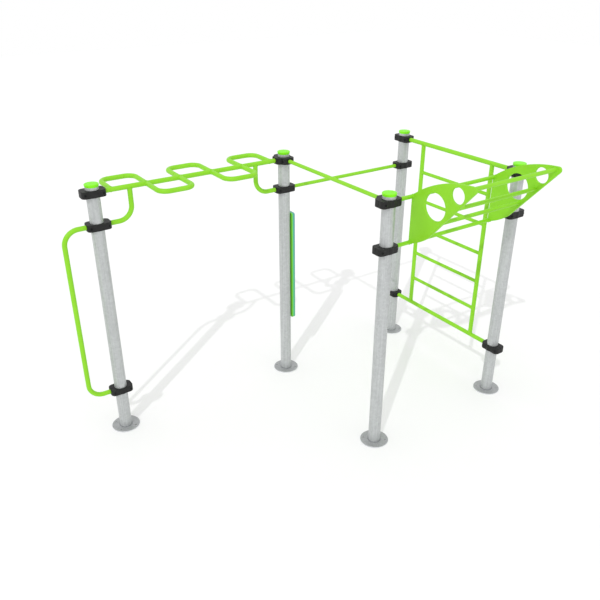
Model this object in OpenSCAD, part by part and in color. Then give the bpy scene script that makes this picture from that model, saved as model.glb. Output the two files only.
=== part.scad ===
// Climbing frame on five round posts: overhead wave bars, a rung ladder, a side pole,
// a projecting net of rungs between two fin plates, and the clamps that hold them.
// Millimetres. +Z is up, X runs along the wave bars, -Y is the side the fins project to.

/* [Layout] */
// Post A to post B, centre to centre
span_ab = 1820; // [1300:10:2600]
// Side of the square bay of posts B, C, D and E, centre to centre
bay = 1500; // [1200:10:2200]
// Height of the top bars above the ground
top_z = 2295; // [2000:5:2600]
// Drop from the top bars to the upper row of clamps on A, B and D
mid_drop = 280; // [240:5:400]
// Drop from the top bars to the lower bar of the net
net_drop = 390; // [330:5:520]
// Height of the ladder's bottom bar
ladder_low_z = 500; // [350:5:700]
// Height of the side pole's lower clamp
pole_low_z = 415; // [300:5:700]

/* [Posts] */
// Outer diameter of a post
post_od = 110; // [80:1:140]
// Wall of a post
post_wall = 3.6; // [2:0.1:6]
// Post standing above the top bars' centre line
post_over = 52; // [35:1:120]
// Base plate diameter
plate_d = 256; // [200:1:340]
// Base plate thickness
plate_t = 10; // [6:1:20]
// Pitch circle of the anchor holes
anchor_pcd = 200; // [150:5:280]
// Anchor hole diameter
anchor_d = 14; // [10:1:22]
// Anchor holes in each plate
anchor_count = 4; // [3:1:8]

/* [Caps] */
// How far the cap's top stands out past the post
cap_flare = 4; // [0:0.5:12]
// How far the cap's foot lies inside the post's edge
cap_tuck = 0.5; // [0:0.5:3]
// Cap height above the post
cap_h = 24; // [10:1:50]
// Depth of the cap's spigot inside the post
cap_spigot = 30; // [10:1:60]
// Wall of the spigot
cap_spigot_wall = 4; // [2:0.5:10]

/* [Clamps] */
// Clamp length along its tubes
clamp_len = 204; // [180:1:260]
// Clamp width over its flat sides
clamp_w = 125; // [110:1:170]
// Wall of the round boss about the post
clamp_boss_wall = 12; // [8:0.5:24]
// Clamp height
clamp_h = 59; // [50:1:90]
// Corner radius of the clamp in plan
clamp_round = 38; // [10:1:50]
// Offset of the off-centre clamps along their tubes
clamp_shift = 6; // [0:0.5:8]
// Gap between the two halves
clamp_split = 3; // [1:0.5:6]
// Gap between the post and the end of a clamped tube
tube_setback = 3; // [1:0.5:10]
// Clamp bolt centre, from the end of the clamp
bolt_end = 25; // [18:1:40]
// Clamp bolt shank diameter
bolt_d = 10; // [6:1:12]
// Clamp bolt head diameter
bolt_head_d = 17; // [12:1:20]
// Clamp bolt head height
bolt_head_h = 6; // [4:0.5:10]
// Depth of the sink the bolt head sits in
bolt_sink = 7; // [5:0.5:12]
// Metal left beyond the tip of a bolt
bolt_cover = 14; // [6:1:30]

/* [Tubes] */
// Outer diameter of the main tubes: the spine, the ladder's frame and the bent tubes
main_od = 42; // [36:1:48]
// Wall of the main tubes
main_wall = 3; // [2:0.1:5]
// Outer diameter of the lighter tubes: the bars of the bay and of the net, and the rungs
light_od = 34; // [25:1:36]
// Wall of the lighter tubes
light_wall = 2.6; // [1.5:0.1:4]

/* [Wave bars] */
// Post A to the first loop's leg
wave_start = 155; // [130:1:300]
// Loops along the spine
wave_count = 5; // [1:1:9]
// Leg to leg, centre to centre
wave_pitch = 303; // [200:1:400]
// Reach of a loop from the spine, to its centre line
wave_reach = 305; // [200:5:400]
// Bend radius of a loop's corners
wave_bend = 85; // [50:5:95]
// Post to the upright of a corner brace
brace_x = 309; // [230:1:400]
// Bend radius of a corner brace
brace_bend = 122; // [60:1:140]

/* [Side pole] */
// Post A to the side pole, centre to centre
pole_x = 285; // [250:5:450]
// Bend radius of the side pole
pole_bend = 128; // [60:1:140]

/* [Ladder] */
// Post to the ladder's stile, centre to centre
stile_inset = 300; // [150:5:450]
// Bottom bar to the first rung, and rung to rung
rung_pitch = 300; // [200:5:340]
// Rungs in the ladder
rung_count = 5; // [1:1:8]

/* [Net fins] */
// Fin plate thickness
fin_t = 20; // [6:1:30]
// Post C to the first fin's middle
fin_first = 253; // [150:1:500]
// Post E to the second fin's middle
fin_last = 311; // [150:1:500]
// Reach of a fin beyond the net's bars
fin_reach = 636; // [450:1:800]
// Rise of a fin's tip above the top bars
fin_rise = 231; // [120:1:300]
// Radius of a fin's tip
fin_tip_r = 28; // [8:1:30]
// Fin plate left behind the bars' centre line
fin_back = 6; // [0:1:15]
// Radius of the large round window
window_big_r = 111; // [40:1:114]
// Radius of the small round window
window_small_r = 65; // [20:1:68]

/* [Sign board] */
// Board width
sign_w = 104; // [60:1:300]
// Board height
sign_h = 1146; // [300:2:1500]
// Board thickness
sign_t = 34; // [6:1:40]
// Height of the board's lower edge
sign_z = 615; // [300:5:1000]
// Corner radius of the board
sign_round = 18; // [4:1:40]
// Board's end to its screw
sign_screw_inset = 160; // [40:5:400]
// Sign screw diameter
sign_screw_d = 8; // [5:0.5:12]
// Sign screw head diameter
sign_head_d = 16; // [10:1:24]
// Sign screw head height
sign_head_h = 4; // [2:0.5:8]

/* [Fits] */
// Gap round a post, tube or bolt where it is gripped or bolted
fit = 0.2; // [0.1:0.05:0.5]
// Gap left for the weld round a coped tube end
weld_gap = 0.3; // [0.1:0.05:0.6]
// Extra diameter of a drilled bolt hole
drill_extra = 1; // [0.5:0.1:2]

/* [Hidden] */
$fn = 64;
over = 1; // how far a cutter runs past the face it cuts

mid_z = top_z - mid_drop;
net_low_z = top_z - net_drop;
post_r = post_od / 2;
post_top = top_z + post_over;
main_r = main_od / 2;
light_r = light_od / 2;
socket_end = post_r + tube_setback;
bolt_x = clamp_len / 2 - bolt_end;
main_weld_r = main_r + weld_gap;
light_weld_r = light_r + weld_gap;
bolt_hole_d = bolt_d + drill_extra;
span_x = span_ab + bay;

// the origin is under the middle of the whole frame, on the ground
mid_x = (span_x + plate_d / 2 - pole_x - main_r) / 2;
mid_y = (wave_reach + main_r - bay - fin_reach) / 2;

POST_A = [0, 0];
POST_B = [span_ab, 0];
POST_C = [span_ab, -bay];
POST_D = [span_x, 0];
POST_E = [span_x, -bay];

// each clamp: name, post, height, turn, how many times clamp_shift it is off centre along its
// tubes, then the size of the tube on its +x side, on its -x side, in its front half and in its
// rear half
CLAMPS = [
    ["a1", POST_A, top_z, 0, 0, main_od, 0, 0, 0],
    ["a2", POST_A, mid_z, 0, 1.5, main_od, main_od, 0, 0],
    ["a3", POST_A, pole_low_z, 0, 0, 0, main_od, 0, 0],
    ["b1", POST_B, top_z, -90, 0, light_od, 0, main_od, 0],
    ["b2", POST_B, mid_z, 0, 0, light_od, main_od, 0, 0],
    ["c1", POST_C, top_z, 0, -1, light_od, 0, 0, light_od],
    ["c2", POST_C, net_low_z, 0, -1.5, light_od, 0, 0, 0],
    ["d1", POST_D, top_z, -90, 0, main_od, 0, 0, 0],
    ["d2", POST_D, mid_z, 0, 0, 0, light_od, 0, 0],
    ["d3", POST_D, ladder_low_z, -90, -1, main_od, 0, 0, 0],
    ["e1", POST_E, top_z, -90, 0, 0, main_od, light_od, 0],
    ["e2", POST_E, net_low_z, 0, 1, 0, light_od, 0, 0],
    ["e3", POST_E, ladder_low_z, -90, 1, 0, main_od, 0, 0],
];

// outline of a fin: u outwards from the net's bars, w up from the lower bar
tip_c = [fin_reach - fin_tip_r, net_drop + fin_rise - fin_tip_r];
knee = [207, 101];
heel = [-fin_back, -12];
crown = [-fin_back, net_drop + 10];
crest = [252, net_drop + 215];
sole = [114, 22];
window_big = [250, 370];
window_small = [tip_c[0] - 140, tip_c[1] - 75];
RUNGS = [[288, 242], [tip_c[0] - 179, tip_c[1] - 195], [tip_c[0] - 25, tip_c[1] - 1]];

function clamp_of(name) = CLAMPS[search([name], CLAMPS)[0]];

function curve(a, b, c, n) = [
    for (i = [0:n])
        let (t = i / n)
            a * (1 - t) * (1 - t) + b * 2 * t * (1 - t) + c * t * t
];

function round_tip(c, r, from, to, n) = [
    for (i = [0:n])
        let (t = from + (to - from) * i / n)
            [c[0] + r * cos(t), c[1] + r * sin(t)]
];

// puts its children in the frame's own axes
module placed() {
    translate([-mid_x, -mid_y, 0]) children();
}

module at_post(p, z = 0) {
    translate([p[0] - mid_x, p[1] - mid_y, z]) children();
}

// a straight tube from the origin up Z
module tube(length, od, wall) {
    difference() {
        cylinder(h = length, d = od);
        translate([0, 0, -over]) cylinder(h = length + 2 * over, d = od - 2 * wall);
    }
}

// a quarter bend from +X to +Y about the origin
module bend(radius, od, wall) {
    rotate_extrude(angle = 90) translate([radius, 0]) difference() {
        circle(d = od);
        circle(d = od - 2 * wall);
    }
}

module along_x(x) {
    translate([x, 0, 0]) rotate([0, 90, 0]) children();
}

module along_y(y) {
    translate([0, y, 0]) rotate([90, 0, 0]) children();
}

module bolt_drill(x) {
    translate([x, 0, 0]) rotate([90, 0, 0])
        cylinder(h = main_od + 2 * over, d = bolt_hole_d, center = true);
}

// how far a clamp's bolt stands from its post; way is 1 on the clamp's +x side, -1 on its -x side
function bolt_at(name, way) = bolt_x + way * clamp_of(name)[4] * clamp_shift;

// a bar between two posts; start and end say where its clamp bolts stand (0 for none)
module clamped_bar(length, od, wall, start, end) {
    difference() {
        along_x(socket_end) tube(length - 2 * socket_end, od, wall);
        if (start > 0) bolt_drill(start);
        if (end > 0) bolt_drill(length - end);
    }
}

module post(screw_holes = false) {
    color("#c3c7c7") difference() {
        translate([0, 0, plate_t]) tube(post_top - plate_t, post_od, post_wall);
        if (screw_holes) for (z = [sign_z + sign_screw_inset, sign_z + sign_h - sign_screw_inset])
            translate([0, 0, z]) rotate([0, 90, 0]) cylinder(h = post_od, d = sign_screw_d + 2 * fit);
    }
}

module base_plate() {
    color("#a6a9a8") difference() {
        cylinder(h = plate_t, d = plate_d);
        for (i = [0:anchor_count - 1])
            rotate([0, 0, (i + 0.5) * 360 / anchor_count]) translate([anchor_pcd / 2, 0, -over])
                cylinder(h = plate_t + 2 * over, d = anchor_d);
    }
}

module cap() {
    spigot_d = post_od - 2 * post_wall - 2 * fit;
    color("#8cff33") difference() {
        union() {
            translate([0, 0, post_top])
                cylinder(h = cap_h, d1 = post_od - 2 * cap_tuck, d2 = post_od + 2 * cap_flare);
            translate([0, 0, post_top - cap_spigot]) cylinder(h = cap_spigot + over, d = spigot_d);
        }
        translate([0, 0, post_top - cap_spigot - over])
            cylinder(h = cap_spigot + over, d = spigot_d - 2 * cap_spigot_wall);
    }
}

// an end lobe of a clamp in plan, from the post's axis out along +x
module lobe_plan() {
    long = clamp_len / 2 - clamp_round;
    wide = clamp_w / 2 - clamp_round;
    translate([0, -clamp_w / 2]) square([long, clamp_w]);
    translate([0, -wide]) square([clamp_len / 2, 2 * wide]);
    for (y = [-wide, wide]) translate([long, y]) circle(r = clamp_round);
}

// a clamp in plan: a lobe each way along x, and one to the side for a third tube
module clamp_plan(shift, front_lobe, rear_lobe) {
    translate([shift, 0]) lobe_plan();
    translate([shift, 0]) rotate(180) lobe_plan();
    if (front_lobe) rotate(-90) lobe_plan();
    if (rear_lobe) rotate(90) lobe_plan();
    circle(r = post_r + clamp_boss_wall);
}

module socket(od) {
    if (od > 0) cylinder(h = clamp_len, d = od + 2 * fit);
}

// one half of a clamp: side -1 is the front half, with the sinks for the bolt heads
module clamp_half(name, side) {
    c = clamp_of(name);
    shift = c[4] * clamp_shift;
    sink_y = clamp_w / 2 - bolt_sink;
    deep = clamp_w / 2 - bolt_cover + over;
    color("#2e302e") at_post(c[1], c[2]) rotate([0, 0, c[3]]) difference() {
        translate([0, 0, -clamp_h / 2]) linear_extrude(clamp_h) clamp_plan(shift, c[7] > 0, c[8] > 0);
        cylinder(h = clamp_h + 2 * over, r = post_r + fit, center = true);
        translate([-clamp_len, side < 0 ? -clamp_split / 2 : clamp_split / 2 - clamp_len, -clamp_h])
            cube([2 * clamp_len, clamp_len, 2 * clamp_h]);
        along_x(post_r - over) socket(c[5]);
        along_x(-post_r + over - clamp_len) socket(c[6]);
        if (side < 0) along_y(-post_r + over) socket(c[7]);
        if (side > 0) along_y(post_r - over + clamp_len) socket(c[8]);
        for (x = [-bolt_x, bolt_x]) translate([x + shift, 0, 0]) {
            if (side < 0) rotate([90, 0, 0]) cylinder(h = clamp_w, d = bolt_hole_d);
            if (side < 0) along_y(-sink_y) cylinder(h = clamp_w, d = bolt_head_d + 2 * drill_extra);
            if (side > 0) along_y(deep) cylinder(h = deep, d = bolt_d + 2 * fit);
        }
    }
}

module clamp_bolts() {
    seat = clamp_w / 2 - bolt_sink;
    tip = clamp_w / 2 - bolt_cover;
    color("#6a6e6c") for (c = CLAMPS) at_post(c[1], c[2]) rotate([0, 0, c[3]])
        for (x = [-bolt_x, bolt_x]) translate([x + c[4] * clamp_shift, 0, 0]) {
            along_y(tip) cylinder(h = tip + seat + over, d = bolt_d);
            along_y(-seat) cylinder(h = bolt_head_h, d = bolt_head_d);
        }
}

module spine() {
    color("#93d83b") at_post(POST_A, top_z)
        clamped_bar(span_ab, main_od, main_wall, bolt_at("a1", 1), 0);
}

module wave_loop(away) {
    turn = wave_reach - wave_bend;
    difference() {
        mirror([0, away ? 0 : 1, 0]) union() {
            for (x = [0, wave_pitch]) translate([x, turn, 0]) rotate([90, 0, 0])
                tube(turn, main_od, main_wall);
            translate([wave_bend, turn, 0]) rotate([0, 0, 90]) bend(wave_bend, main_od, main_wall);
            translate([wave_pitch - wave_bend, turn, 0]) bend(wave_bend, main_od, main_wall);
            translate([0, wave_reach, 0]) along_x(wave_bend)
                tube(wave_pitch - 2 * wave_bend, main_od, main_wall);
        }
        along_x(-main_od) cylinder(h = wave_pitch + 2 * main_od, r = main_weld_r);
    }
}

module wave_loops() {
    color("#93d83b") at_post(POST_A, top_z) for (i = [0:wave_count - 1])
        translate([wave_start + i * wave_pitch, 0, 0]) wave_loop(i % 2 == 0);
}

// a corner brace in the XZ plane, its clamped end towards the post at the origin
module brace(bolt) {
    difference() {
        union() {
            along_x(socket_end) tube(brace_x - brace_bend - socket_end, main_od, main_wall);
            translate([brace_x - brace_bend, 0, brace_bend]) rotate([90, 0, 0]) rotate([0, 0, -90])
                bend(brace_bend, main_od, main_wall);
            translate([brace_x, 0, brace_bend]) tube(mid_drop - brace_bend, main_od, main_wall);
        }
        bolt_drill(bolt);
        translate([0, 0, mid_drop]) along_x(brace_x / 2) cylinder(h = brace_x, r = main_weld_r);
    }
}

module brace_a() {
    color("#93d83b") at_post(POST_A, mid_z) brace(bolt_at("a2", 1));
}

module brace_b() {
    color("#93d83b") at_post(POST_B, mid_z) mirror([1, 0, 0]) brace(bolt_at("b2", -1));
}

module side_pole() {
    run = pole_x - pole_bend;
    color("#93d83b") at_post(POST_A) difference() {
        union() {
            for (z = [pole_low_z, mid_z]) translate([0, 0, z]) along_x(-run)
                tube(run - socket_end, main_od, main_wall);
            translate([-run, 0, mid_z - pole_bend]) rotate([90, 0, 0]) rotate([0, 0, 90])
                bend(pole_bend, main_od, main_wall);
            translate([-run, 0, pole_low_z + pole_bend]) rotate([90, 0, 0]) rotate([0, 0, 180])
                bend(pole_bend, main_od, main_wall);
            translate([-pole_x, 0, pole_low_z + pole_bend])
                tube(mid_z - pole_low_z - 2 * pole_bend, main_od, main_wall);
        }
        translate([0, 0, pole_low_z]) bolt_drill(-bolt_at("a3", -1));
        translate([0, 0, mid_z]) bolt_drill(-bolt_at("a2", -1));
    }
}

module bar_bc() {
    color("#93d83b") at_post(POST_B, top_z) rotate([0, 0, -90])
        clamped_bar(bay, light_od, light_wall, bolt_at("b1", 1), 0);
}

module bar_bd() {
    color("#93d83b") at_post(POST_B, mid_z)
        clamped_bar(bay, light_od, light_wall, bolt_at("b2", 1), bolt_at("d2", -1));
}

// a bar of the ladder at a height, between a clamp on post D and one on post E
module ladder_bar(z, clamp_d, clamp_e) {
    color("#93d83b") at_post(POST_D, z) rotate([0, 0, -90])
        clamped_bar(bay, main_od, main_wall, bolt_at(clamp_d, 1), bolt_at(clamp_e, -1));
}

module ladder_stiles() {
    color("#93d83b") at_post(POST_D) for (y = [stile_inset, bay - stile_inset]) translate([0, -y, 0])
        difference() {
            translate([0, 0, ladder_low_z]) tube(top_z - ladder_low_z, main_od, main_wall);
            for (z = [ladder_low_z, top_z]) translate([0, 0, z])
                rotate([90, 0, 0]) cylinder(h = 2 * main_od, r = main_weld_r, center = true);
        }
}

module ladder_rungs() {
    color("#93d83b") at_post(POST_D) for (i = [1:rung_count])
        difference() {
            translate([0, -stile_inset, ladder_low_z + i * rung_pitch]) rotate([90, 0, 0])
                tube(bay - 2 * stile_inset, light_od, light_wall);
            for (y = [stile_inset, bay - stile_inset]) translate([0, -y, ladder_low_z])
                cylinder(h = top_z - ladder_low_z, r = main_weld_r);
        }
}

module net_top_bar() {
    color("#93d83b") at_post(POST_C, top_z)
        clamped_bar(bay, light_od, light_wall, bolt_at("c1", 1), 0);
}

module net_bottom_bar() {
    color("#93d83b") at_post(POST_C, net_low_z)
        clamped_bar(bay, light_od, light_wall, bolt_at("c2", 1), bolt_at("e2", -1));
}

// turns u and w of a fin's plane to -Y and +Z, about a fin's middle
module in_fin_plane(x) {
    at_post(POST_C, net_low_z) translate([x, 0, 0]) rotate([90, 0, -90]) children();
}

module fin(x) {
    to_tip = tip_c - knee;
    lower_edge = atan2(to_tip[1], to_tip[0]) - asin(fin_tip_r / norm(to_tip));
    color("#93d83b") in_fin_plane(x) difference() {
        linear_extrude(fin_t, center = true) difference() {
            polygon(concat(
                round_tip(tip_c, fin_tip_r, lower_edge - 90, 90, 12),
                curve(tip_c + [0, fin_tip_r], crest, crown, 20),
                curve(heel, sole, knee, 12)
            ));
            translate(window_big) circle(r = window_big_r);
            translate(window_small) circle(r = window_small_r);
        }
        for (w = [0, net_drop]) translate([0, w, 0])
            cylinder(h = fin_t + 2 * over, r = light_weld_r, center = true);
    }
}

module net_rungs() {
    gap = bay - fin_first - fin_last - fin_t;
    color("#93d83b") for (r = RUNGS) at_post(POST_C, net_low_z)
        translate([0, -r[0], r[1]]) along_x(fin_first + fin_t / 2) tube(gap, light_od, light_wall);
}

module sign_board() {
    w = sign_w / 2 - sign_round;
    h = sign_h - 2 * sign_round;
    color("#5db82b") at_post(POST_B, sign_z) translate([post_r + fit, 0, 0]) difference() {
        rotate([90, 0, 90]) linear_extrude(sign_t) {
            translate([-sign_w / 2, sign_round]) square([sign_w, h]);
            translate([-w, 0]) square([2 * w, sign_h]);
            for (y = [-w, w], z = [sign_round, sign_round + h]) translate([y, z]) circle(r = sign_round);
        }
        for (z = [sign_screw_inset, sign_h - sign_screw_inset]) translate([-over, 0, z])
            rotate([0, 90, 0]) cylinder(h = sign_t + 2 * over, d = sign_screw_d + drill_extra);
    }
}

module sign_screws() {
    tail = 12;
    color("#6a6e6c") at_post(POST_B, sign_z) for (z = [sign_screw_inset, sign_h - sign_screw_inset])
        translate([post_r + fit, 0, z]) {
            along_x(-tail) cylinder(h = tail + sign_t + over, d = sign_screw_d);
            along_x(sign_t) cylinder(h = sign_head_h, d = sign_head_d);
        }
}

at_post(POST_A) post();  // post_a
at_post(POST_B) post(true);  // post_b
at_post(POST_C) post();  // post_c
at_post(POST_D) post();  // post_d
at_post(POST_E) post();  // post_e
at_post(POST_A) base_plate();  // base_plate_a
at_post(POST_B) base_plate();  // base_plate_b
at_post(POST_C) base_plate();  // base_plate_c
at_post(POST_D) base_plate();  // base_plate_d
at_post(POST_E) base_plate();  // base_plate_e
at_post(POST_A) cap();  // cap_a
at_post(POST_B) cap();  // cap_b
at_post(POST_C) cap();  // cap_c
at_post(POST_D) cap();  // cap_d
at_post(POST_E) cap();  // cap_e
clamp_half("a1", -1);  // clamp_a1_front
clamp_half("a1", 1);  // clamp_a1_rear
clamp_half("a2", -1);  // clamp_a2_front
clamp_half("a2", 1);  // clamp_a2_rear
clamp_half("a3", -1);  // clamp_a3_front
clamp_half("a3", 1);  // clamp_a3_rear
clamp_half("b1", -1);  // clamp_b1_front
clamp_half("b1", 1);  // clamp_b1_rear
clamp_half("b2", -1);  // clamp_b2_front
clamp_half("b2", 1);  // clamp_b2_rear
clamp_half("c1", -1);  // clamp_c1_front
clamp_half("c1", 1);  // clamp_c1_rear
clamp_half("c2", -1);  // clamp_c2_front
clamp_half("c2", 1);  // clamp_c2_rear
clamp_half("d1", -1);  // clamp_d1_front
clamp_half("d1", 1);  // clamp_d1_rear
clamp_half("d2", -1);  // clamp_d2_front
clamp_half("d2", 1);  // clamp_d2_rear
clamp_half("d3", -1);  // clamp_d3_front
clamp_half("d3", 1);  // clamp_d3_rear
clamp_half("e1", -1);  // clamp_e1_front
clamp_half("e1", 1);  // clamp_e1_rear
clamp_half("e2", -1);  // clamp_e2_front
clamp_half("e2", 1);  // clamp_e2_rear
clamp_half("e3", -1);  // clamp_e3_front
clamp_half("e3", 1);  // clamp_e3_rear
clamp_bolts();
spine();
wave_loops();
brace_a();
brace_b();
side_pole();
bar_bc();
bar_bd();
ladder_bar(top_z, "d1", "e1");  // ladder_top_bar
ladder_bar(ladder_low_z, "d3", "e3");  // ladder_bottom_bar
ladder_stiles();
ladder_rungs();
net_top_bar();
net_bottom_bar();
net_rungs();
fin(fin_first);  // fin_near
fin(bay - fin_last);  // fin_far
sign_board();
sign_screws();
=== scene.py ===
"""Looks of a fixed climbing frame: wave bars, a rung ladder, a side pole and a fin-sided net.

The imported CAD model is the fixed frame. The tubes and posts keep their CAD meshes and get their
finishes here. The caps, clamps, bolts, fins, base plates and sign board are finished pieces with
rounded edges, and the weld beads are laid where the tubes meet.
"""

import logging
import math
from dataclasses import dataclass
from enum import Enum
from functools import cache
from typing import Any, Iterable

import bmesh
import bpy
from mathutils import Matrix, Vector


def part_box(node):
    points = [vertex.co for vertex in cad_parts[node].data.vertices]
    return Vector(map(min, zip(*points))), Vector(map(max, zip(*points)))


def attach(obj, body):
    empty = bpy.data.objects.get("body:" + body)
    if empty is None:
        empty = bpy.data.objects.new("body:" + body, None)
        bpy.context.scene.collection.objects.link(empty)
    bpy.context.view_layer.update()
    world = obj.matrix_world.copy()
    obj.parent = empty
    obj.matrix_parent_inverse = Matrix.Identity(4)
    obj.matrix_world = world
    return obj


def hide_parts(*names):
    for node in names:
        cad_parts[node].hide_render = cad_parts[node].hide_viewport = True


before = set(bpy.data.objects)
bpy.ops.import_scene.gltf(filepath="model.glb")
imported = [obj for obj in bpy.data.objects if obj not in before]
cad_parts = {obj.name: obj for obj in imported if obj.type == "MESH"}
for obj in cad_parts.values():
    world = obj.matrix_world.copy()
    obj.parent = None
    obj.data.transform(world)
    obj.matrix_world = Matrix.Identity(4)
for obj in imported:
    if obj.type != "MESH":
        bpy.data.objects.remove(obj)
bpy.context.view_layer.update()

MM = 0.001
UP = Vector((0.0, 0.0, 1.0))
ALONG_X = Vector((1.0, 0.0, 0.0))
ALONG_Y = Vector((0.0, 1.0, 0.0))

MERGE_CAD = 0.004 * MM  # corners of the CAD's loose triangles that are one
MERGE_TURNED = 0.01 * MM  # corners that meet on a lathe's axis
ON_PLANE = 0.05 * MM  # a corner this near a plane lies on it
SAME_FLAT = math.radians(0.6)  # faces this nearly level are one flat

log = logging.getLogger("climbing_frame")

Inputs = dict[str | int, Any]


# ---------------------------------------------------------------------------------------------
# Small helpers
# ---------------------------------------------------------------------------------------------


def linear(hex_colour: str) -> tuple[float, float, float, float]:
    """Turns an sRGB hex colour into the linear colour that a shader socket takes.

    Args:
        hex_colour: A colour such as "#93d83b".

    Returns:
        The colour as linear red, green, blue and an alpha of 1.
    """
    parts = [int(hex_colour[i : i + 2], 16) / 255 for i in (1, 3, 5)]
    lit = [c / 12.92 if c <= 0.04045 else ((c + 0.055) / 1.055) ** 2.4 for c in parts]
    return (lit[0], lit[1], lit[2], 1.0)


def add_node(
    tree: bpy.types.NodeTree,
    kind: str,
    inputs: Inputs | None = None,
    **settings: Any,
) -> bpy.types.Node:
    """Adds one node with its settings, its input values and its links.

    Args:
        tree: The node tree that the node goes into.
        kind: Blender's name for the node's type.
        inputs: Values or output sockets, by input name or index.
        **settings: The node's own properties.

    Returns:
        The new node.
    """
    node = tree.nodes.new(kind)
    for key, value in settings.items():
        setattr(node, key, value)
    for key, value in (inputs or {}).items():
        if isinstance(value, bpy.types.NodeSocket):
            tree.links.new(value, node.inputs[key])
        else:
            node.inputs[key].default_value = value
    return node


@cache
def box_of(node: str) -> tuple[Vector, Vector]:
    """Gives the lowest and highest corner of a CAD node, which is measured only once."""
    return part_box(node)


def middle_of(node: str) -> Vector:
    """Gives the middle of a CAD node's box."""
    return (box_of(node)[0] + box_of(node)[1]) / 2


def half_of(node: str) -> Vector:
    """Gives half the size of a CAD node's box, such as the outer radius of a straight tube."""
    return (box_of(node)[1] - box_of(node)[0]) / 2


def cad_copy(node: str) -> bmesh.types.BMesh:
    """Copies a CAD node's mesh, merges its loose triangles and clears its flat faces of seams.

    Args:
        node: The CAD node's name.

    Returns:
        The merged copy, for a finished piece to be made from.
    """
    bm = bmesh.new()
    bm.from_mesh(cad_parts[node].data)
    bmesh.ops.remove_doubles(bm, verts=bm.verts, dist=MERGE_CAD)
    bmesh.ops.dissolve_limit(bm, angle_limit=SAME_FLAT, verts=bm.verts, edges=bm.edges)
    return bm


def round_edges(
    bm: bmesh.types.BMesh, edges: Iterable[bmesh.types.BMEdge], radius: float, steps: int = 3
) -> None:
    """Rounds some edges of a mesh over to a radius.

    Args:
        bm: The mesh.
        edges: The edges to round.
        radius: The rounding's radius in metres.
        steps: How many flats the rounding is made of.
    """
    bmesh.ops.bevel(
        bm,
        geom=list(edges),
        offset=radius,
        offset_type="OFFSET",
        segments=steps,
        profile=0.5,
        affect="EDGES",
        clamp_overlap=False,
        loop_slide=True,
        material=-1,
    )


def sharp(edge: bmesh.types.BMEdge, degrees: float = 50.0) -> bool:
    """Says whether the faces on an edge meet at more than an angle."""
    return len(edge.link_faces) == 2 and edge.calc_face_angle() > math.radians(degrees)


def turned(outline: list[tuple[float, float]], steps: int) -> bmesh.types.BMesh:
    """Turns an outline once about Z, as on a lathe.

    Args:
        outline: Radius and height of each corner in metres, from one end on the axis to the other.
        steps: How many steps make the full turn.

    Returns:
        The closed, turned mesh with its faces outwards.
    """
    bm = bmesh.new()
    corners = [bm.verts.new((r, 0.0, z)) for r, z in outline]
    sides = [bm.edges.new(pair) for pair in zip(corners, corners[1:])]
    bmesh.ops.spin(
        bm,
        geom=corners + sides,
        cent=(0.0, 0.0, 0.0),
        axis=(0.0, 0.0, 1.0),
        angle=math.tau,
        steps=steps,
        use_merge=True,
        use_duplicate=False,
    )
    bmesh.ops.remove_doubles(bm, verts=bm.verts, dist=MERGE_TURNED)
    bmesh.ops.recalc_face_normals(bm, faces=bm.faces)
    return bm


def put_in(target: bmesh.types.BMesh, part: bmesh.types.BMesh, place: Matrix) -> None:
    """Moves a small mesh to its place inside a larger one, and frees the small one.

    Args:
        target: The mesh that takes the part.
        part: The part, made about the origin.
        place: Where the part goes.
    """
    bmesh.ops.transform(part, matrix=place, verts=part.verts)
    carrier = bpy.data.meshes.new("carrier")
    part.to_mesh(carrier)
    part.free()
    target.from_mesh(carrier)
    bpy.data.meshes.remove(carrier)


def axes(origin: Vector, out: Vector, along: Vector) -> Matrix:
    """Makes the placing matrix whose Z runs out of a seat and whose X runs along it.

    Args:
        origin: The point that the local origin goes to.
        out: The direction of local Z.
        along: The direction of local X, square to out.

    Returns:
        The 4 by 4 placing matrix.
    """
    side = out.cross(along)
    turn = Matrix((along, side, out)).transposed()
    return Matrix.Translation(origin) @ turn.to_4x4()


# ---------------------------------------------------------------------------------------------
# Finishes
# ---------------------------------------------------------------------------------------------


@dataclass(frozen=True)
class Drawn:
    """What a finish draws of its own, which its recipe then leads to the shader.

    Args:
        blend: Where the second tint shows, from 0 to 1.
        rough: Inputs of the range that the roughness varies over.
        relief: Inputs of the bump.
        shader: The shader's values that are the same all over.
    """

    blend: bpy.types.NodeSocket
    rough: Inputs | None = None
    relief: Inputs | None = None
    shader: Inputs | None = None


@dataclass(frozen=True)
class Recipe:
    """A finish of two tints that its own pattern blends, with one shader.

    Args:
        name: The material's name.
        first_hex: The tint where the pattern is lowest.
        second_hex: The tint where the pattern is highest.
    """

    name: str
    first_hex: str
    second_hex: str

    def draw(self, tree: bpy.types.NodeTree, coords: bpy.types.NodeSocket) -> Drawn:
        """Draws the finish's own pattern; each finish has its own."""
        raise NotImplementedError

    def build(self) -> bpy.types.Material:
        """Builds the material: its own pattern, then the tints, the relief and the shader.

        Returns:
            The finished material.
        """
        material = bpy.data.materials.new(self.name)
        material.use_nodes = True
        tree = material.node_tree
        tree.nodes.clear()
        drawn = self.draw(tree, add_node(tree, "ShaderNodeTexCoord").outputs["Object"])
        tints = {0: drawn.blend, 6: linear(self.first_hex), 7: linear(self.second_hex)}
        colour = add_node(tree, "ShaderNodeMix", tints, data_type="RGBA")
        feed = {"Base Color": colour.outputs[2], **(drawn.shader or {})}
        if drawn.rough:
            feed["Roughness"] = add_node(tree, "ShaderNodeMapRange", drawn.rough).outputs[0]
        if drawn.relief:
            feed["Normal"] = add_node(tree, "ShaderNodeBump", drawn.relief).outputs[0]
        shader = add_node(tree, "ShaderNodeBsdfPrincipled", feed)
        add_node(tree, "ShaderNodeOutputMaterial", {"Surface": shader.outputs["BSDF"]})
        return material


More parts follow.
